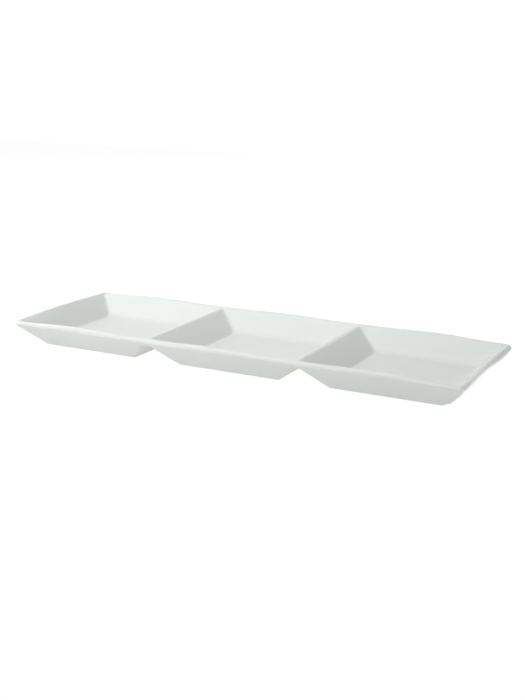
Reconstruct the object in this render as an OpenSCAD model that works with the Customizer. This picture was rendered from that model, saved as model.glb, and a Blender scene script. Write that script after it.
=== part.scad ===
// Serving dish of white porcelain with three square wells in one row.
// Its parts, as a maker would lute them together from clay: three trays (the wells),
// two ridges that bridge the gaps between them, one rolled rim round the whole,
// and an unglazed foot ring under each well.
// X runs along the dish, Y across it and Z up, from the middle of the surface it stands on.

/* [Overall] */
// Length over the rim
body_l = 360; // [320:1:420]
// Width over the rim
body_w = 122; // [105:0.5:150]
// Height of the rim at the middle of a well's side
body_h = 21.75; // [20:0.25:25]

/* [Walls] */
// Thickness of every wall, which the rim rounds over
wall_t = 4.5; // [3.5:0.1:5]
// Thickness of the floor of a well
floor_t = 4; // [3:0.1:5.5]
// Level distance from the rim to the foot of the front or back wall
side_run = 17.75; // [15:0.25:22]
// Level distance from the rim to the foot of an end wall
end_run = 18.25; // [15:0.25:22]
// Level distance from a ridge's middle line to the foot of the wall beside it
ridge_run = 19; // [17:0.25:22]

/* [Corners] */
// Radius of the rim's corners, over the outside
rim_corner_r = 5; // [4.5:0.5:10]
// Radius of a well's inner corners, seen from above
well_corner_r = 2.5; // [2:0.5:4]
// Radius of the outer corners of a well where it meets a ridge
notch_corner_r = 2; // [1.5:0.5:6]
// Radius of the corners of a well's base
base_corner_r = 2; // [1.5:0.5:6]
// Radius of the hollow where an end wall or a ridge turns into the floor
floor_r = 3; // [2:0.5:6]
// Radius of the wider hollow where the front or back wall turns into the floor
side_floor_r = 12; // [6:0.5:16]

/* [Ridges] */
// How far a ridge's crest lies below the lowest stretches of the rim
crest_drop = 1.15; // [0.7:0.05:1.6]
// Radius of a ridge's round crest
ridge_r = 4.25; // [3.5:0.25:5]
// Depth of a ridge from its crest to the flat strip under it
ridge_t = 4.5; // [4:0.1:6]
// Width of the flat strip under a ridge, between two wells
soffit_w = 5.6; // [4:0.1:7]

/* [Rim] */
// How far the rim arches up along a side between two ridges or a ridge and a corner
arch_h = 0.8; // [0:0.1:1.5]
// Length of level rim kept free of the arch beside a ridge or a corner
arch_gap = 12; // [12:0.5:16]
// How far the rim sinks at its corners
corner_drop = 1; // [0:0.1:1.5]
// Length of rim over which it sinks towards a corner
corner_reach = 60; // [40:1:75]

/* [Feet] */
// Height of the foot rings
foot_h = 0.8; // [0.6:0.1:1.5]
// Width of the foot rings
foot_w = 4; // [3:0.5:6]

/* [Hidden] */

glaze_white = [0.90, 0.92, 0.91];
biscuit_white = [0.86, 0.85, 0.82];

// Steps of the curves
corner_steps = 7;
arch_steps = 10;
lip_steps = 8;
lip_in_steps = 3;
crest_steps = 4;
fillet_steps = 5;
side_fillet_steps = 7;
// The crest's arc ends at this angle, where it is level to a tenth of a millimetre
crest_end_angle = 80;

// The rim's lip is a half round of the wall's own thickness
lip_r = wall_t / 2;
low_rim_h = body_h - arch_h;
lip_z = low_rim_h - lip_r;
floor_z = foot_h + floor_t;

// The wells end where the outsides of two ridge walls meet the strip between them, and there
// the rim and the ridges sit on them
crest_z = low_rim_h - crest_drop - ridge_r;
seam_z = crest_z + ridge_r - ridge_t;

// Walls rise from their foot at these angles. Side and end walls run tangent to the lip. The
// outside of a ridge wall runs to the strip, and its inside tangent to the ridge's crest
function lip_angle(run) = atan2(lip_z, run - lip_r) - asin(lip_r / norm([run - lip_r, lip_z]));
side_angle = lip_angle(side_run);
end_angle = lip_angle(end_run);
under_angle = atan2(seam_z, ridge_run - soffit_w / 2);
ridge_angle = atan2(crest_z, ridge_run) + asin((ridge_r - wall_t) / norm([ridge_run, crest_z]));

// A wall is its run, the angles of its outside and its inside, and the radius of its hollow
side_wall = [side_run, side_angle, side_angle, side_floor_r];
end_wall = [end_run, end_angle, end_angle, floor_r];
ridge_wall = [ridge_run, under_angle, ridge_angle, floor_r];

// Places along the dish
well_l = (body_l - 2 * end_run - 4 * ridge_run) / 3;
ridge_x = well_l / 2 + ridge_run;
end_x = body_l / 2;
side_y = body_w / 2;

// The ridge's crest is an arc between its two flanks, which end at this height
flank_top_z = crest_z + ridge_r * cos(ridge_angle);

// Level distance from the rim's or ridge's line to the outside of a wall at height z
function wall_out(wall, z) = wall[0] - z / tan(wall[1]);

// The same to the inside of a wall, which turns into the floor in a round hollow
function wall_in(wall, z) =
    let (a = wall[2], r = wall[3], hollow_z = floor_z + r * (1 - cos(a)),
         slope_in = wall[0] + wall_t / sin(a) - z / tan(a),
         floor_in = wall[0] + wall_t / sin(a) - floor_z / tan(a) + r * tan(a / 2))
    z >= hollow_z ? slope_in : floor_in - sqrt(r ^ 2 - (floor_z + r - z) ^ 2);

// Level distance from the rim's line to the inside of the rim, which rounds over at the lip
function rim_in(wall, z) =
    z <= lip_z + lip_r * cos(wall[2]) ? wall_in(wall, z) : lip_r + sqrt(max(lip_r ^ 2 - (z - lip_z) ^ 2, 0));

// The same to the outside of the rim
function rim_out(wall, z) =
    z <= lip_z - lip_r * cos(wall[1]) ? wall_out(wall, z) : lip_r - sqrt(max(lip_r ^ 2 - (z - lip_z) ^ 2, 0));

// Half the ridge's width at height z
function ridge_half_w(z) =
    z <= flank_top_z ? wall_in(ridge_wall, z) : sqrt(ridge_r ^ 2 - (z - crest_z) ^ 2);

// Heights at which the rim and the ridges have matching edges
contact_levels = concat([seam_z],
    [for (k = [0 : crest_steps])
        crest_z + ridge_r * sin(90 - ridge_angle + (crest_end_angle - 90 + ridge_angle) * k / crest_steps)]);

// Heights of a well's inside, from the seam down to the floor: those of the wide hollow that lie
// above the narrow one, then those of the narrow one
steep_end = max(end_angle, ridge_angle);
narrow_h = floor_r * (1 - cos(steep_end));
wide_levels = [for (k = [side_fillet_steps : -1 : 1])
    let (h = side_floor_r * (1 - cos(side_angle * k / side_fillet_steps))) if (h > 1.3 * narrow_h) floor_z + h];
well_levels = concat([seam_z], wide_levels,
    [for (k = [fillet_steps : -1 : 0]) floor_z + floor_r * (1 - cos(steep_end * k / fillet_steps))]);

// A quarter circle of points from angle a0 on
function quarter(x, y, r, a0, turn = 90) =
    [for (i = [0 : corner_steps]) let (a = a0 + turn * i / corner_steps) [x + r * cos(a), y + r * sin(a)]];

// One outline of a well, from x0 to x1; r0 rounds its corners at x0 and r1 those at x1
function well_outline(x0, x1, half_w, r0, r1) = concat(
    quarter(x1 - r1, half_w - r1, r1, 0),
    quarter(x0 + r0, half_w - r0, r0, 90),
    quarter(x0 + r0, r0 - half_w, r0, 180),
    quarter(x1 - r1, r1 - half_w, r1, 270));

function at_height(outline, z) = [for (p = outline) [p[0], p[1], z]];

// Skin over a stack of outlines with as many points each. closed joins the last to the first,
// and end lists the faces that close an outline, where it has hollow corners
module loft(rings, closed = false, end = []) {
    n = len(rings[0]);
    m = len(rings);
    last = closed ? m - 1 : m - 2;
    end_faces = len(end) > 0 ? end : [[for (i = [0 : n - 1]) i]];
    skin = [for (j = [0 : last]) for (i = [0 : n - 1])
        let (this = j * n, next = ((j + 1) % m) * n, k = (i + 1) % n)
        each [[this + i, next + i, this + k], [this + k, next + i, next + k]]];
    top_faces = [for (f = end_faces) [for (i = [len(f) - 1 : -1 : 0]) (m - 1) * n + f[i]]];
    caps = closed ? [] : concat(end_faces, top_faces);
    polyhedron(points = [for (r = rings) each r], faces = concat(skin, caps));
}

// One well: a tray from its base up to the seam. left and right are the walls at its two
// ends, each with the place of its line along the dish
module well(left_x, left, right_x, right) {
    left_r = left == ridge_wall ? notch_corner_r : rim_corner_r - wall_out(side_wall, seam_z);
    right_r = right == ridge_wall ? notch_corner_r : rim_corner_r - wall_out(side_wall, seam_z);
    function outside(z, r0, r1) = at_height(well_outline(
        left_x + wall_out(left, z), right_x - wall_out(right, z),
        side_y - wall_out(side_wall, z), r0, r1), z);
    function inside(z) = at_height(well_outline(
        left_x + wall_in(left, z), right_x - wall_in(right, z), side_y - wall_in(side_wall, z),
        well_corner_r, well_corner_r), z);
    color(glaze_white)
        loft(concat(
            [outside(foot_h, base_corner_r, base_corner_r), outside(seam_z, left_r, right_r)],
            [for (z = well_levels) inside(z)]));
}

module left_well() {
    well(-end_x, end_wall, -ridge_x, ridge_wall);
}

module middle_well() {
    well(-ridge_x, ridge_wall, ridge_x, ridge_wall);
}

module right_well() {
    mirror([1, 0, 0])
        left_well();
}

// One ridge: a bar over the gap between two wells. It flares at both ends, in the same
// radius as the wells' corners, and its ends lie on the rim's slope
module ridge(x) {
    r = well_corner_r;
    function section(half_w, half_l) = concat(
        quarter(half_w + r, half_l - r, r, 180, -90),
        quarter(-half_w - r, half_l - r, r, 90, -90),
        quarter(-half_w - r, r - half_l, r, 0, -90),
        quarter(half_w + r, r - half_l, r, -90, -90));
    // Strips from each point to its mirror image, first along one end, then the other, then between
    q = 2 * (corner_steps + 1);
    strips = concat(
        [for (a = [0, q]) for (i = [0 : corner_steps - 1]) [a + i, a + i + 1, a + q - 2 - i, a + q - 1 - i]],
        [[0, q - 1, q, 2 * q - 1]]);
    color(glaze_white)
        translate([x, 0, 0])
            loft(
                [for (z = contact_levels)
                    at_height(section(ridge_half_w(z), side_y - rim_in(side_wall, z)), z)],
                end = strips);
}

module left_ridge() {
    ridge(-ridge_x);
}

module right_ridge() {
    ridge(ridge_x);
}

// How much of the arch the rim has at a share t of the way along its free stretch
function arch_share(t) = t <= 0 || t >= 1 ? 0 : sin(180 * t) ^ 2;

// The rim's free stretches: three along each side, which arch, and one along each end
side_stretches = [[-end_x, -ridge_x], [-ridge_x, ridge_x], [ridge_x, end_x]];
end_stretch = [-side_y, side_y];

// Points along one stretch from a to b, each with its share of the arch
function along(stretch) =
    let (a = stretch[0] + arch_gap, b = stretch[1] - arch_gap)
    [for (i = [0 : arch_steps]) [a + (b - a) * i / arch_steps, arch_share(i / arch_steps)]];

function backwards(list) = [for (i = [len(list) - 1 : -1 : 0]) list[i]];

// How much of the drop the rim has at a point, by its distance from the nearest corner
function drop_share(p) =
    let (t = norm([end_x - abs(p[0]), side_y - abs(p[1])]) / corner_reach) t >= 1 ? 0 : cos(90 * t) ^ 2;

// One ring of the rim at height z: dx and dy inside its line, with corners of radius r,
// moved by a share of the arch and of the drop
function rim_ring(dx, dy, r, z, lift_share) =
    let (x = end_x - dx, y = side_y - dy,
         side = [for (s = side_stretches) each along(s)], end = [for (p = along(end_stretch)) p[0]],
         ring = concat(
             quarter(x - r, y - r, r, 0), [for (p = backwards(side)) [p[0], y, p[1]]],
             quarter(r - x, y - r, r, 90), [for (e = backwards(end)) [-x, e]],
             quarter(r - x, r - y, r, 180), [for (p = side) [p[0], -y, p[1]]],
             quarter(x - r, r - y, r, 270), [for (e = end) [x, e]]))
    [for (p = ring)
        [p[0], p[1], z + lift_share * (arch_h * (len(p) > 2 ? p[2] : 0) - corner_drop * drop_share(p))]];

// Share of the way from the seam to the top of the low rim, eased at both ends
function rise_share(z) = let (t = (z - seam_z) / (low_rim_h - seam_z)) t * t * (3 - 2 * t);

// The rim: a rolled lip round the whole dish, from the seam over the lip and back
module rim() {
    crest_corner_r = rim_corner_r - lip_r;
    top_angle = asin((contact_levels[len(contact_levels) - 1] - lip_z) / lip_r);
    inner_turn = 90 - max(90 - side_angle, top_angle);
    lip_start = lip_z - lip_r * cos(side_angle);
    lip_turn = 180 - side_angle;
    outer_levels = concat([seam_z, lip_start],
        [for (k = [1 : lip_steps]) lip_z + lip_r * sin(90 - lip_turn * (1 - k / lip_steps))]);
    inner_levels = concat(
        [for (k = [1 : lip_in_steps]) lip_z + lip_r * cos(inner_turn * k / (lip_in_steps + 1))],
        backwards(contact_levels));
    color(glaze_white)
        loft(concat(
            [for (z = outer_levels) rim_ring(
                rim_out(end_wall, z), rim_out(side_wall, z), rim_corner_r - rim_out(side_wall, z),
                z, rise_share(z))],
            [for (z = inner_levels) rim_ring(
                rim_in(end_wall, z), rim_in(side_wall, z),
                well_corner_r + (crest_corner_r - well_corner_r) * (z - seam_z) / (low_rim_h - seam_z),
                z, rise_share(z))]),
            closed = true);
}

// One foot ring, under the walls of a well, whose slope its outside carries on
module foot(left_x, left, right_x, right) {
    r = base_corner_r;
    inner_r = max(base_corner_r - foot_w, base_corner_r / 4);
    function outside(z) = at_height(well_outline(
        left_x + wall_out(left, z), right_x - wall_out(right, z), side_y - wall_out(side_wall, z), r, r), z);
    function inside(z) = at_height(well_outline(
        left_x + left[0] + foot_w, right_x - right[0] - foot_w, side_y - side_run - foot_w,
        inner_r, inner_r), z);
    color(biscuit_white)
        loft([inside(foot_h), inside(0), outside(0), outside(foot_h)], closed = true);
}

module left_foot() {
    foot(-end_x, end_wall, -ridge_x, ridge_wall);
}

module middle_foot() {
    foot(-ridge_x, ridge_wall, ridge_x, ridge_wall);
}

module right_foot() {
    mirror([1, 0, 0])
        left_foot();
}

left_well();
middle_well();
right_well();
left_ridge();
right_ridge();
rim();
left_foot();
middle_foot();
right_foot();
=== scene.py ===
# A long serving dish of white glazed porcelain with three square wells in one row.
# X runs along the dish, Y across it and Z up, from the middle of the surface it stands on. Metres.
import math

import bpy
import numpy as np
from mathutils import Matrix, Vector


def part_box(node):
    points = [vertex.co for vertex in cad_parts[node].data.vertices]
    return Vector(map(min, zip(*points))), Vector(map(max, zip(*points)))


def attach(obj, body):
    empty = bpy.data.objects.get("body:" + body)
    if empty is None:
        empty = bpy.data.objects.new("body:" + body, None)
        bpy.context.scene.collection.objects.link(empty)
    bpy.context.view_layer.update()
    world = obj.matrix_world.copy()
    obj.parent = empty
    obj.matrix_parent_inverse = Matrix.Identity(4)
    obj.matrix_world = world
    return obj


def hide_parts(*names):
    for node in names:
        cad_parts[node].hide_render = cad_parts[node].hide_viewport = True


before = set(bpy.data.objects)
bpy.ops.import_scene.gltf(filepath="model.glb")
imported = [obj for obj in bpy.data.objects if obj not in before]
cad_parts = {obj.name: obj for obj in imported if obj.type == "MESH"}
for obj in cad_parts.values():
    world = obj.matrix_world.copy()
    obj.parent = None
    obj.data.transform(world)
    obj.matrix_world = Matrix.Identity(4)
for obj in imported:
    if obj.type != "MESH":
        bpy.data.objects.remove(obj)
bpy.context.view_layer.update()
mm = 0.001

# The porcelain body. It is lofted as one skin, as it leaves the mould, from sheets of points for the
# wells, the ridges and the rim. The skin is then cut into the dish's pieces, so that the glaze runs
# over their seams without a mark. First come its sizes and its walls.
wall_t = 4.5 * mm
lip_r = wall_t / 2
arch_h = 0.8 * mm
floor_t = 4 * mm
floor_r, side_floor_r = 3 * mm, 12 * mm
rim_corner_r = 5 * mm
well_corner_r = 2.5 * mm
notch_corner_r = 2 * mm
base_corner_r = 2 * mm
ridge_r = 4.25 * mm
ridge_t = 4.5 * mm
soffit_w = 5.6 * mm
side_run, end_run, ridge_run = 17.75 * mm, 18.25 * mm, 19 * mm

end_x, side_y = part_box("rim")[1].x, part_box("rim")[1].y
low_rim_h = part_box("rim")[1].z - arch_h
lip_z = low_rim_h - lip_r
seam_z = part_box("middle_well")[1].z
foot_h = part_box("middle_foot")[1].z
floor_z = foot_h + floor_t
ridge_x = (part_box("right_ridge")[0].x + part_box("right_ridge")[1].x) / 2
crest_z = seam_z + ridge_t - ridge_r


def lip_angle(run):
    """Angle of a wall that rises from its foot and runs tangent to the lip."""
    return math.atan2(lip_z, run - lip_r) - math.asin(lip_r / math.hypot(run - lip_r, lip_z))


# A wall is its run, the angles of its outside and its inside, and the radius of its hollow
side = (side_run, lip_angle(side_run), lip_angle(side_run), side_floor_r)
end = (end_run, lip_angle(end_run), lip_angle(end_run), floor_r)
ridge = (ridge_run, math.atan2(seam_z, ridge_run - soffit_w / 2),
         math.atan2(crest_z, ridge_run) + math.asin((ridge_r - wall_t) / math.hypot(ridge_run, crest_z)),
         floor_r)
flank_top = crest_z + ridge_r * math.cos(ridge[2])


def out_at(wall, z):
    """Level distance from the rim's or ridge's line to the outside of a wall."""
    return wall[0] - z / math.tan(wall[1])


def in_at(wall, z):
    """The same to its inside, which turns into the floor in a round hollow and into a crest above."""
    run, _, a, r = wall
    base = run + wall_t / math.sin(a)
    if z < floor_z + r * (1 - math.cos(a)):
        return (base - floor_z / math.tan(a) + r * math.tan(a / 2)
                - math.sqrt(max(r ** 2 - (floor_z + r - z) ** 2, 0)))
    if wall is ridge and z > flank_top:
        return math.sqrt(max(ridge_r ** 2 - (z - crest_z) ** 2, 0))
    return base - z / math.tan(a)


# The three wells, in level rings. Inside, they run from the flat floor through the round hollow and up
# the walls to the saddle, the level where a ridge's crest begins. Outside, they run from the seam under
# the lip down the walls, over the soft edge of the foot to the ground, and into the hollow within it.
corner_steps, side_steps = 8, 28
hollow_steps, wide_steps, crest_steps = 8, 10, 8
outside_steps, edge_steps = 8, 5
wall_shares, flank_shares = (0.05, 0.3, 0.6, 0.9), (0, 0.5, 0.95)
outside_crowding = 1.5
crest_end = math.radians(80)
least_step = 0.1 * mm
foot_w, edge_r = 4 * mm, 0.3 * mm
foot_hollow_r, foot_fillet, foot_side_share = 1.2 * mm, 0.3 * mm, 0.6
underside_shares = (0.9, 0.5)
# A mark on each point of the skin says how the glaze lies there, or that painted warm shade lies there in the
# notches: 0 is plain
pooled, run_thin, painted_notch_shade = 1.0, -1.0, -2.0
# Glaze pooled in hollows and corners, and the height over which that fades out below the saddle
hollow_pool, pool_fade_h = 0.5 * pooled, 4 * mm
# Rings of the floor, as shares of its size, with the glaze pooled on each
floor_pools = {1: 0.5, 0.97: 0.3, 0.9: 0.1, 0.7: 0, 0.4: 0, 0.15: 0}


def arc(cx, cy, r, start_angle):
    """The points of a quarter circle, anticlockwise."""
    t = np.radians(start_angle + 90 * np.linspace(0, 1, corner_steps + 1))
    return np.stack([cx + r * np.cos(t), cy + r * np.sin(t)], 1)


def between(a, b):
    """The points between two points, without the two."""
    t = np.linspace(0, 1, side_steps + 1)[1:-1, None]
    return np.array(a) * (1 - t) + np.array(b) * t


def outline(x0, x1, half_w, r0, r1):
    """A round-cornered outline from the back right corner on, anticlockwise."""
    c = [arc(x1 - r1, half_w - r1, r1, 0), arc(x0 + r0, half_w - r0, r0, 90),
         arc(x0 + r0, r0 - half_w, r0, 180), arc(x1 - r1, r1 - half_w, r1, 270)]
    return np.concatenate([q for k in range(4) for q in (c[k], between(c[k][-1], c[(k + 1) % 4][0]))])


# Points in one corner of an outline, and in a corner with the side after it
arc_n = corner_steps + 1
quarter_n = corner_steps + side_steps
west = slice(quarter_n, 2 * quarter_n + arc_n)


def east_side(ring):
    """The right end of an outline, from front to back."""
    return np.concatenate([ring[3 * quarter_n:], ring[:arc_n]])


def west_side(ring):
    """The left end of an outline, from front to back."""
    return ring[west][::-1]


def lift(points, z):
    """Outline points at height z."""
    return np.column_stack([points, np.broadcast_to(z, len(points))])


verts, quads, tags, glaze_and_shade_marks, unders = [], [], [], [], []


def patch(grid, tag, closed=False, cap=False, flip=False, glaze_and_shade=0.0, under=None):
    """Adds a sheet of rows of points. tag names the piece, or is a function of row and column.

    under says for each row how far it belongs to the outside under the lip."""
    rows, cols = len(grid), len(grid[0])
    start = sum(len(v) for v in verts)
    verts.append(np.concatenate([np.asarray(g, float) for g in grid]))
    glaze_and_shade_marks.append(np.broadcast_to(np.asarray(glaze_and_shade, float), (rows, cols)).reshape(-1))
    unders.append(np.repeat(np.zeros(rows) if under is None else under, cols))
    for r in range(rows - 1):
        for c in range(cols if closed else cols - 1):
            here, there = start + r * cols, start + (r + 1) * cols
            d = (c + 1) % cols
            q = [here + c, here + d, there + d, there + c]
            quads.append(q[::-1] if flip else q)
            tags.append(tag if isinstance(tag, str) else tag(r, c))
    if cap:
        quads.append([start + (rows - 1) * cols + c for c in range(cols)])
        tags.append(tag if isinstance(tag, str) else tag(rows - 2, 0))


steepest = max(side[1], end[1], ridge[2])
hollow_levels = [floor_z + floor_r * (1 - math.cos(steepest * k / hollow_steps))
                 for k in range(hollow_steps + 1)]
hollow_top = hollow_levels[-1]
wide_levels = [floor_z + side_floor_r * (1 - math.cos(side[2] * k / wide_steps))
               for k in range(1, wide_steps + 1)]
hollow_levels += [z for z in wide_levels if z > hollow_top + least_step]
wall_levels = [hollow_levels[-1] + (seam_z - hollow_levels[-1]) * t for t in wall_shares]
flank_levels = [seam_z + (flank_top - seam_z) * t for t in flank_shares]
flank_turn = math.pi / 2 - ridge[2]
crest_levels = [crest_z + ridge_r * math.sin(flank_turn + (crest_end - flank_turn) * k / crest_steps)
                for k in range(crest_steps + 1)]
levels = hollow_levels + wall_levels + flank_levels + crest_levels
saddle_z = levels[-1]

out_levels = [foot_h + (seam_z - foot_h) * (1 - k / outside_steps) ** outside_crowding
              for k in range(outside_steps + 1)]
out_levels += [edge_r * (1 - math.cos(a)) for a in np.linspace(1, 0, edge_steps + 1) * side[1]]
under_lip = np.clip((np.array(out_levels) - foot_h) / (seam_z - foot_h), 0, 1)

in_corner = np.zeros(4 * quarter_n)
for k in range(4):
    in_corner[k * quarter_n:k * quarter_n + arc_n] = np.sin(np.linspace(0, math.pi, arc_n))
wall_pool = np.array([np.maximum(hollow_pool if z <= hollow_top else 0.0, hollow_pool * in_corner)
                      * min(1, (saddle_z - z) / pool_fade_h) for z in levels])

wells = {"left_well": (-end_x, end, -ridge_x, ridge), "middle_well": (-ridge_x, ridge, ridge_x, ridge),
         "right_well": (ridge_x, ridge, end_x, end)}
inner_top, outer_top, ring_edges = {}, {}, {}
for name, (x0, wall0, x1, wall1) in wells.items():
    foot = name.replace("well", "foot")

    def piece(r, c):
        """The piece of the inside's faces above ring r, after column c."""
        if levels[r + 1] <= seam_z:
            return name
        if wall0 is ridge and west.start <= c < west.stop - 1:
            return "left_ridge" if x0 < 0 else "right_ridge"
        if wall1 is ridge and (c >= 3 * quarter_n or c < arc_n - 1):
            return "left_ridge" if x1 < 0 else "right_ridge"
        return "rim"

    rings = [lift(outline(x0 + in_at(wall0, z), x1 - in_at(wall1, z), side_y - in_at(side, z),
                          well_corner_r, well_corner_r), z) for z in levels]
    patch(rings, piece, closed=True, flip=True, glaze_and_shade=wall_pool)
    inner_top[name] = rings[-1]
    centre_x = (rings[0][:, 0].min() + rings[0][:, 0].max()) / 2
    centre = np.array([centre_x, 0, floor_z])
    patch([centre + (rings[0] - centre) * s for s in floor_pools], name, closed=True, cap=True,
          glaze_and_shade=np.array(list(floor_pools.values()))[:, None])

    # Outside. The foot's soft edge turns from each wall's slope to the level ground
    corner_top = [notch_corner_r if w is ridge else rim_corner_r - out_at(side, seam_z)
                  for w in (wall0, wall1)]
    downs, notch_shade_marks = [], []
    for k, z in enumerate(out_levels):
        s = min((seam_z - z) / (seam_z - foot_h), 1)
        r0, r1 = (ct + (base_corner_r - ct) * s for ct in corner_top)
        if k <= outside_steps:
            d0, d1, dy = (out_at(w, z) for w in (wall0, wall1, side))
        else:
            a = math.acos(1 - z / edge_r)
            d0, d1, dy = (w[0] + edge_r * (math.tan(w[1] / 2) - math.sin(a * w[1] / side[1]))
                          for w in (wall0, wall1, side))
        ring = lift(outline(x0 + d0, x1 - d1, side_y - dy, r0, r1), z)
        to_ridge = np.min([np.abs(ring[:, 0] - at) for w, at in ((wall0, x0 + d0), (wall1, x1 - d1))
                           if w is ridge], axis=0)
        downs.append(ring[::-1])
        # Near the ridges the outside is marked for painted warm shade in the notch
        notch_shade_marks.append(painted_notch_shade * np.clip(1 - to_ridge[::-1] / notch_corner_r, 0, 1))
    patch(downs, lambda r, c: name if r < outside_steps else foot, closed=True,
          glaze_and_shade=np.array(notch_shade_marks), under=under_lip)
    outer_top[name] = downs[0][::-1]

    # The hollow within the foot ring
    inner = []
    for step, z in ((0, 0), (0, foot_side_share * foot_h), (foot_fillet, foot_h), (2 * foot_fillet, foot_h)):
        inset = foot_w + step
        inner.append(lift(outline(x0 + wall0[0] + inset, x1 - wall1[0] - inset, side_y - side_run - inset,
                                  foot_hollow_r, foot_hollow_r), z)[::-1])
    centre = np.array([centre_x, 0, foot_h])
    patch(inner + [centre + (inner[-1] - centre) * s for s in underside_shares],
          lambda r, c: foot if r < 2 else name, closed=True, cap=True)
    ring_edges[foot] = (downs[-1][::-1], inner[0][::-1])

# The two ridges: a crest that bridges two wells from saddle to saddle, and under it a flat strip where
# their outsides part. The glaze ran thin over the crests, and the notches under them carry painted warm
# shade.
bridge_steps = 8
crest_pool = 0.6 * run_thin
bridge_shares = np.linspace(0, 1, bridge_steps + 1)

for name, left, right in (("left_ridge", "left_well", "middle_well"),
                          ("right_ridge", "middle_well", "right_well")):
    a, b = east_side(inner_top[left]), west_side(inner_top[right])
    # The crest's round top flattens at its two ends, where it meets the rim
    bulge = np.full(len(a), crest_z + ridge_r - saddle_z)
    bulge[[0, -1]] = 0
    crest = [a * (1 - s) + b * s + np.outer(bulge * (1 - (2 * s - 1) ** 2), (0, 0, 1)) for s in bridge_shares]
    patch([row[::-1] for row in crest], name, glaze_and_shade=crest_pool)
    a, b = east_side(outer_top[left]), west_side(outer_top[right])
    # The strip under each ridge is marked for painted warm shade
    patch([a * (1 - s) + b * s for s in bridge_shares], name, glaze_and_shade=painted_notch_shade)

# The rim: rings from the saddle over the round lip and down its outside to the seam. The lip arches up
# between corners and ridges along the sides, and sinks towards the dish's four corners.
arch_gap = 12 * mm
corner_drop, corner_reach = 1 * mm, 60 * mm
lip_in_steps, lip_out_steps, under_steps = 8, 14, 8
inner_share, outer_share = 0.6, 0.3
# The glaze is thinnest on one ring, just within the top of the lip, and less so on the rings around it
thinnest_pool, thinnest_ring, thin_rings = 0.8 * run_thin, 8, 7
crest_corner_r = rim_corner_r - lip_r
reach_in = in_at(ridge, saddle_z) + well_corner_r
reach_out = soffit_w / 2 + notch_corner_r


def rim_ring(z, dx, dy, r, reach):
    """One ring of the rim. reach is how far the stretch over each ridge goes to either side."""
    x, y = end_x - dx, side_y - dy
    marks = [x - r, ridge_x + reach, ridge_x - reach, -ridge_x + reach, -ridge_x - reach, r - x]
    steps = [side_steps, bridge_steps, side_steps, bridge_steps, side_steps]
    run = np.concatenate([np.linspace(marks[k], marks[k + 1], steps[k] + 1)[min(k, 1):] for k in range(5)])
    back = np.stack([run, np.full(len(run), y)], 1)
    ring = [arc(x - r, y - r, r, 0), back[1:-1],
            arc(r - x, y - r, r, 90), between((-x, y - r), (-x, r - y)),
            arc(r - x, r - y, r, 180), -back[1:-1],
            arc(x - r, r - y, r, 270), between((x, r - y), (x, y - r))]
    return lift(np.concatenate(ring), z)


def rim_level(z, inner, share):
    """Ring of the rim at height z on its inside or outside, a share of the way from saddle to seam."""
    side_of = 1 if inner else -1
    insets = []
    for wall in (end, side):
        if z <= lip_z + side_of * lip_r * math.cos(wall[1]):
            insets.append(in_at(wall, z) if inner else out_at(wall, z))
        else:
            insets.append(lip_r + side_of * math.sqrt(max(lip_r ** 2 - (z - lip_z) ** 2, 0)))
    if inner:
        r = well_corner_r + (crest_corner_r - well_corner_r) * (z - seam_z) / (low_rim_h - seam_z)
    else:
        r = rim_corner_r - insets[1]
    return rim_ring(z, *insets, r, reach_in + (reach_out - reach_in) * share)


def ease(v, low, high):
    """Share from 0 at low to 1 at high, eased."""
    q = np.clip((v - low) / (high - low), 0, 1)
    return q * q * (3 - 2 * q)


tangent_turn = math.pi / 2 - side[1]
lip_in_z = lip_z + lip_r * math.cos(side[1])
inside_z = [saddle_z, saddle_z + (lip_in_z - saddle_z) * inner_share]
inside_z += [lip_z + lip_r * math.sin(tangent_turn + side[1] * k / lip_in_steps)
             for k in range(lip_in_steps + 1)]
outside_z = [lip_z + lip_r * math.sin(math.pi / 2 - (math.pi - side[1]) * k / lip_out_steps)
             for k in range(1, lip_out_steps + 1)]
outside_z += [outside_z[-1] + (seam_z - outside_z[-1]) * t for t in (outer_share, 1)]
rim_n = len(inside_z) + len(outside_z)
# The last ring has share 1, so that it meets the strips under the ridges
rim_rings = [rim_ring(saddle_z, in_at(end, saddle_z), in_at(side, saddle_z), well_corner_r, reach_in)]
rim_rings += [rim_level(z, k < len(inside_z), (k if k < len(inside_z) else k + 1) / rim_n)
              for k, z in enumerate(inside_z + outside_z) if k > 0]
ring_k = np.arange(rim_n)
patch(rim_rings, "rim", closed=True, flip=True, under=np.clip((ring_k - len(inside_z)) / under_steps, 0, 1),
      glaze_and_shade=thinnest_pool * np.exp(-((ring_k - thinnest_ring) / thin_rings) ** 2)[:, None])

skin = np.concatenate(verts)
px, py, pz = skin[:, 0], skin[:, 1], skin[:, 2]
rise = np.zeros(len(skin))
on_side = side_y - np.abs(py) < end_x - np.abs(px)
for x0, x1 in ((-end_x, -ridge_x), (-ridge_x, ridge_x), (ridge_x, end_x)):
    on = on_side & (px >= x0) & (px <= x1)
    rise[on] = np.sin(np.pi * np.clip((px[on] - x0 - arch_gap) / (x1 - x0 - 2 * arch_gap), 0, 1)) ** 2
to_corner = np.hypot(end_x - np.abs(px), side_y - np.abs(py)) / corner_reach
drop = np.cos(np.pi / 2 * np.minimum(to_corner, 1)) ** 2
pz += (arch_h * rise - corner_drop * drop) * ease(pz, seam_z, low_rim_h)

# The right end left the kiln a little warped: under its lip the clay sagged towards the back and drew up
# towards the front, and the wall's front corner bellies out above its foot.
sag, draw_share, turn_share = 1.4 * mm, 1.2, 0.42
belly, belly_reach = 2.5 * mm, 15 * mm
# Shares of the half width, forwards from the middle, at which the belly starts and is full, and the share
# of the lip's height below which it is full
belly_start_share, belly_full_share, belly_top_share = -0.4, 0.5, 0.55
under_fade = 0.1
under = np.concatenate(unders)

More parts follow.
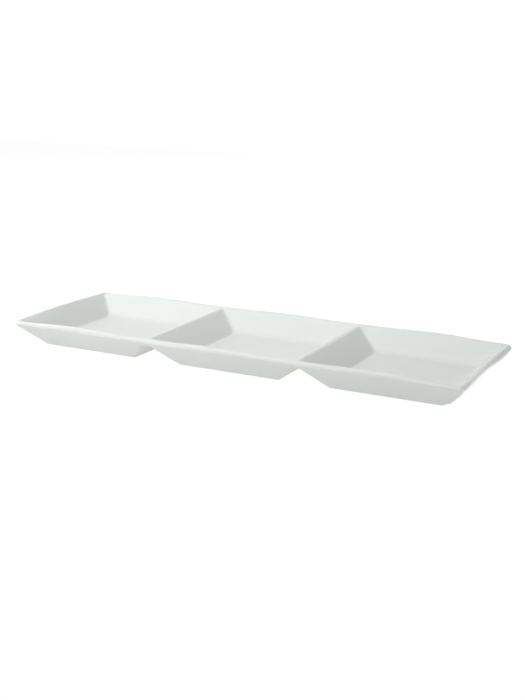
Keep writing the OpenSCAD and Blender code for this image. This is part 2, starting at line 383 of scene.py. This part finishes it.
along = (side_y - py) / (2 * side_y)
wave = np.where(along < turn_share, np.sin(np.pi * along / turn_share),
                -draw_share * np.sin(np.pi * (along - turn_share) / (1 - turn_share)))
pz -= sag * wave * under * ease(px, end_x - end_run, end_x - lip_r)
wall_x = end_x - end_run * (1 - pz / lip_z)
front_corner = ease(-py, belly_start_share * side_y, belly_full_share * side_y)
front_corner *= ease(px, wall_x - belly_reach, wall_x)
below_lip = ease(under, 0, under_fade) * ease(-pz, lip_r / 2 - lip_z, -belly_top_share * lip_z)
px += belly * front_corner * below_lip

# The glaze: a thin glassy white coat over the whole dish but its feet. It is faintly cool where it pooled in
# the hollows, a little warmer where it ran thin over edges, and carries rare fine specks. Painted shade makes
# the notches under the ridges darker and warm. A slow swell and a fine orange peel break its gloss.
glaze_white = (0.785, 0.818, 0.795)
cloudy_white = tuple(c * 0.985 for c in glaze_white)
pool_tint = (0.765, 0.803, 0.778)
thin_tint = (0.800, 0.822, 0.800)
# Painted shade: darker and warm in the notches under the ridges, for the shade there and the floor's warm
# bounce light
notch_painted_shade = (0.745, 0.748, 0.695)
speck_tint = (0.33, 0.29, 0.24)
glossy, less_glossy, glaze_ior = 0.28, 0.33, 1.5
cloud_low, cloud_high = 0.3, 0.7
speck_edge, speck_core = 0.035, 0.015
speck_rarity = (0.985, 0.99)
swell_h, swell_strength = 0.4 * mm, 1.0
peel_h, peel_strength = 0.02 * mm, 0.5
# Cells of each pattern in a metre
cloud_scale, speck_scale, swell_scale, peel_scale = 22.0, 120.0, 38.0, 420.0

glaze = bpy.data.materials.new("white_glaze")
glaze.use_nodes = True
nodes, links = glaze.node_tree.nodes, glaze.node_tree.links
nodes.clear()


def add(kind, **inputs):
    """A node with its sockets set, or linked when the value is another node's output."""
    n = nodes.new(kind)
    for key, value in inputs.items():
        socket = n.inputs[int(key[1:])] if key[1:].isdigit() else n.inputs[key.replace("_", " ")]
        if isinstance(value, bpy.types.NodeSocket):
            links.new(value, socket)
        else:
            socket.default_value = value
    return n


def ramp(value, low, high):
    """Value turned into a share from 0 at low to 1 at high, eased."""
    n = add("ShaderNodeMapRange", _0=value, _1=low, _2=high)
    n.interpolation_type = "SMOOTHSTEP"
    return n.outputs[0]


def blend(share, a, b):
    """Colour a turned into colour b by a share."""
    n = nodes.new("ShaderNodeMix")
    n.data_type = "RGBA"
    for socket, value in zip((n.inputs[0], n.inputs[6], n.inputs[7]), (share, a, b)):
        if isinstance(value, bpy.types.NodeSocket):
            links.new(value, socket)
        else:
            socket.default_value = (*value, 1)
    return n.outputs[2]


place = add("ShaderNodeTexCoord").outputs["Object"]
# The marks of how the glaze lies, and of the painted shade in the notches
glaze_and_shade = add("ShaderNodeAttribute")
glaze_and_shade.attribute_name = "glaze_and_shade"
glaze_and_shade_value = glaze_and_shade.outputs["Fac"]
cloud = add("ShaderNodeTexNoise", Vector=place, Scale=cloud_scale, Detail=3.0).outputs[0]
colour = blend(ramp(cloud, cloud_low, cloud_high), glaze_white, cloudy_white)
colour = blend(ramp(glaze_and_shade_value, 0.0, pooled), colour, pool_tint)
colour = blend(ramp(glaze_and_shade_value, 0.0, run_thin), colour, thin_tint)
# Painted shade, darker and warm, in the notches under the ridges
colour = blend(ramp(glaze_and_shade_value, run_thin, painted_notch_shade), colour, notch_painted_shade)
cells = add("ShaderNodeTexVoronoi", Vector=place, Scale=speck_scale)
lot = add("ShaderNodeSeparateColor", Color=cells.outputs["Color"]).outputs[0]
speck = add("ShaderNodeMath", _0=ramp(cells.outputs["Distance"], speck_edge, speck_core),
            _1=ramp(lot, *speck_rarity))
speck.operation = "MULTIPLY"
colour = blend(speck.outputs[0], colour, speck_tint)
swell = add("ShaderNodeTexNoise", Vector=place, Scale=swell_scale, Detail=1.0).outputs[0]
bump = add("ShaderNodeBump", Strength=swell_strength, Distance=swell_h, Height=swell).outputs[0]
peel = add("ShaderNodeTexNoise", Vector=place, Scale=peel_scale, Detail=2.0).outputs[0]
bump = add("ShaderNodeBump", Strength=peel_strength, Distance=peel_h, Height=peel, Normal=bump).outputs[0]
rough = add("ShaderNodeMapRange", _0=cloud, _1=cloud_low, _2=cloud_high, _3=glossy, _4=less_glossy)
glass = add("ShaderNodeBsdfPrincipled", Base_Color=colour, Roughness=rough.outputs[0], IOR=glaze_ior,
            Normal=bump)
add("ShaderNodeOutputMaterial", Surface=glass.outputs[0])

# The sheets are welded into one skin that gives the normals. Each node takes its own glazed faces of it
weld_gap = 0.002 * mm
_, first, index = np.unique(np.round(skin / weld_gap).astype(np.int64), axis=0,
                            return_index=True, return_inverse=True)
index = index.reshape(-1)
points = skin[first]
point_glaze_and_shade = np.concatenate(glaze_and_shade_marks)[first]
faces = [[int(index[i]) for i in q] for q in quads]
normals = np.zeros_like(points)
for f in faces:
    p = points[f]
    normals[f] += sum(np.cross(p[k] - p[0], p[k + 1] - p[0]) for k in range(1, len(f) - 1))
normals /= np.maximum(np.linalg.norm(normals, axis=1, keepdims=True), 1e-12)


def dress(name, mesh, node, material):
    """Makes a mesh a piece of the dish, in a node's place."""
    mesh.materials.append(material)
    obj = bpy.data.objects.new(name, mesh)
    bpy.context.scene.collection.objects.link(obj)
    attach(obj, "root")
    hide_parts(node)
    return obj


for node in ("left_well", "middle_well", "right_well", "left_ridge", "right_ridge", "rim",
             "left_foot", "middle_foot", "right_foot"):
    own = [f for f, t in zip(faces, tags) if t == node]
    used = sorted({i for f in own for i in f})
    at = {i: k for k, i in enumerate(used)}
    mesh = bpy.data.meshes.new(node + "_glazed")
    mesh.from_pydata(points[used].tolist(), [], [[at[i] for i in f] for f in own])
    # The marks go on the mesh: how the glaze lies, and where shade is painted in the notches
    mesh_glaze_and_shade = mesh.attributes.new("glaze_and_shade", "FLOAT", "POINT")
    mesh_glaze_and_shade.data.foreach_set("value", point_glaze_and_shade[used].astype(np.float32))
    mesh.shade_smooth()
    mesh.normals_split_custom_set_from_vertices(normals[used].tolist())
    dress(node + "_glazed", mesh, node, glaze)

# The feet's ground faces: a flat ring under each well, on which the dish stands and stood in the kiln. It
# is bare fired porcelain, ground flat, matt and slightly warm, with a fine grain and a little grey rubbed
# into it.
clay_white = (0.70, 0.685, 0.65)
clay_rubbed = (0.60, 0.585, 0.55)
clay_rough = 0.85
smear_scale, smear_low, smear_high = 90.0, 0.42, 0.72
grain_scale, grain_h, grain_strength = 1600.0, 0.08 * mm, 0.35
# Rows of a ring's points, as shares of the way from its outer edge to its hollow
ring_shares = (0, 0.1, 0.5, 0.9, 1)

biscuit = bpy.data.materials.new("bare_clay")
biscuit.use_nodes = True
nodes, links = biscuit.node_tree.nodes, biscuit.node_tree.links
nodes.clear()
place = add("ShaderNodeTexCoord").outputs["Object"]
smear = add("ShaderNodeTexNoise", Vector=place, Scale=smear_scale, Detail=5.0).outputs[0]
grain = add("ShaderNodeTexNoise", Vector=place, Scale=grain_scale, Detail=3.0).outputs[0]
colour = blend(ramp(smear, smear_low, smear_high), clay_white, clay_rubbed)
bump = add("ShaderNodeBump", Strength=grain_strength, Distance=grain_h, Height=grain).outputs[0]
clay = add("ShaderNodeBsdfPrincipled", Base_Color=colour, Roughness=clay_rough, Normal=bump)
add("ShaderNodeOutputMaterial", Surface=clay.outputs[0])

for node, (outer, inner) in ring_edges.items():
    rows = [outer * (1 - t) + inner * t for t in ring_shares]
    n = len(outer)
    mesh = bpy.data.meshes.new(node + "_ring")
    mesh.from_pydata(np.concatenate(rows).tolist(), [],
                     [[j * n + i, (j + 1) * n + i, (j + 1) * n + (i + 1) % n, j * n + (i + 1) % n]
                      for j in range(len(rows) - 1) for i in range(n)])
    dress(node + "_ring", mesh, node, biscuit)

# The floor: a sheet of white paper, lit so evenly that the camera and the glaze see it nearly white, with
# the dish's own faint shadow on it. It sends a softer light back up under the walls.
paper_size = 3
paper_bounce = (0.50, 0.50, 0.50)
paper_light, paper_tone = 0.315, (1, 0.994, 0.98)
paper_glow, paper_shade = 0.97, (0.07, 0.07, 0.07)

bpy.ops.mesh.primitive_plane_add(size=paper_size)
floor = bpy.context.object
floor.name = "floor"
paper = bpy.data.materials.new("paper")
paper.use_nodes = True
nodes, links = paper.node_tree.nodes, paper.node_tree.links
nodes.clear()


def either(a, b):
    """1 where one of two shares is 1."""
    n = add("ShaderNodeMath", _0=a, _1=b)
    n.operation = "MAXIMUM"
    return n.outputs[0]


ray = add("ShaderNodeLightPath").outputs
seen = either(either(ray["Is Camera Ray"], ray["Is Glossy Ray"]), ray["Is Transmission Ray"])
bounce = add("ShaderNodeAddShader", _0=add("ShaderNodeBsdfDiffuse", Color=(*paper_bounce, 1)).outputs[0],
             _1=add("ShaderNodeEmission", Color=(*paper_tone, 1), Strength=paper_light).outputs[0])
sheet = add("ShaderNodeAddShader", _0=add("ShaderNodeEmission", Strength=paper_glow).outputs[0],
            _1=add("ShaderNodeBsdfDiffuse", Color=(*paper_shade, 1)).outputs[0])
choice = add("ShaderNodeMixShader", _0=seen, _1=bounce.outputs[0], _2=sheet.outputs[0])
add("ShaderNodeOutputMaterial", Surface=choice.outputs[0])
floor.data.materials.append(paper)

# Studio light: a dim white room, which the glaze mirrors brighter near its horizon, large softboxes over,
# before, behind and to the left of the dish, and a low white card to its right. A small gridded key light
# stands to the upper left of the camera, so the light falls off along the dish.
room_light, horizon_light = 0.12, 0.57
sweep_top, sweep_low = 0.6, 0.2

scene = bpy.context.scene
scene.view_settings.view_transform = "Standard"
world = bpy.data.worlds.new("studio")
scene.world = world
world.use_nodes = True
nodes, links = world.node_tree.nodes, world.node_tree.links
nodes.clear()
ray = add("ShaderNodeLightPath").outputs
seen = either(ray["Is Camera Ray"], ray["Is Transmission Ray"])
height = add("ShaderNodeSeparateXYZ", Vector=add("ShaderNodeTexCoord").outputs["Generated"]).outputs[2]
sweep = add("ShaderNodeMapRange", _0=height, _1=sweep_top, _2=sweep_low, _3=room_light, _4=horizon_light)
sweep.interpolation_type = "SMOOTHSTEP"
room = add("ShaderNodeBackground", Color=(1, 1, 1, 1), Strength=room_light)
mirrored = add("ShaderNodeBackground", Color=(1, 1, 1, 1), Strength=sweep.outputs[0])
white = add("ShaderNodeBackground", Color=(1, 1, 1, 1), Strength=1.0)
room = add("ShaderNodeMixShader", _0=ray["Is Glossy Ray"], _1=room.outputs[0], _2=mirrored.outputs[0])
choice = add("ShaderNodeMixShader", _0=seen, _1=room.outputs[0], _2=white.outputs[0])
add("ShaderNodeOutputWorld", Surface=choice.outputs[0])


def softbox(name, place, size, power, height=None, spread=180, aim=(0, 0, 0)):
    """A softbox that faces the dish, or a place on it. A grid on it narrows its spread, in degrees."""
    light = bpy.data.lights.new(name, "AREA")
    light.shape = "RECTANGLE"
    light.size, light.size_y = size, height or size
    light.energy = power
    light.spread = math.radians(spread)
    obj = bpy.data.objects.new(name, light)
    scene.collection.objects.link(obj)
    obj.location = place
    obj.rotation_euler = (obj.location - Vector(aim)).to_track_quat("Z", "Y").to_euler()


softbox("top", place=(0, 0, 1.3), size=1.2, power=6.5)
softbox("front", place=(0.15, -1.3, 0.6), size=1.2, power=4.7)
softbox("left", place=(-1.2, -0.1, 0.6), size=1.2, power=5.6)
softbox("back", place=(0, 1.1, 0.8), size=1.2, power=1.9)
softbox("back_left", place=(-0.9, 0.9, 0.7), size=1.2, power=1.8)
softbox("right_card", place=(0.75, 0, 0.05), size=0.8, power=0.7, height=0.08)
softbox("key", place=(-0.3, -0.6, 0.5), size=0.5, power=0.39, spread=50, aim=(-0.14, 0, 0))

# The camera, as fitted to the photograph: before the dish and to its right, a little above it, and
# turned a touch about its own line of sight.
cam_place = (361.86 * mm, -708.46 * mm, 223.71 * mm)
cam_azimuth, cam_elevation, cam_roll = 26.646, 15.292, 0.693
sensor_w = 36
focal_px, picture_px = 1093.21, 700

camera = bpy.data.cameras.new("camera")
camera.sensor_width = sensor_w
camera.lens = focal_px / picture_px * sensor_w
cam = bpy.data.objects.new("camera", camera)
scene.collection.objects.link(cam)
cam.matrix_world = (Matrix.Translation(cam_place) @ Matrix.Rotation(math.radians(cam_azimuth), 4, "Z")
                    @ Matrix.Rotation(math.radians(90 - cam_elevation), 4, "X")
                    @ Matrix.Rotation(math.radians(cam_roll), 4, "Z"))
scene.camera = cam
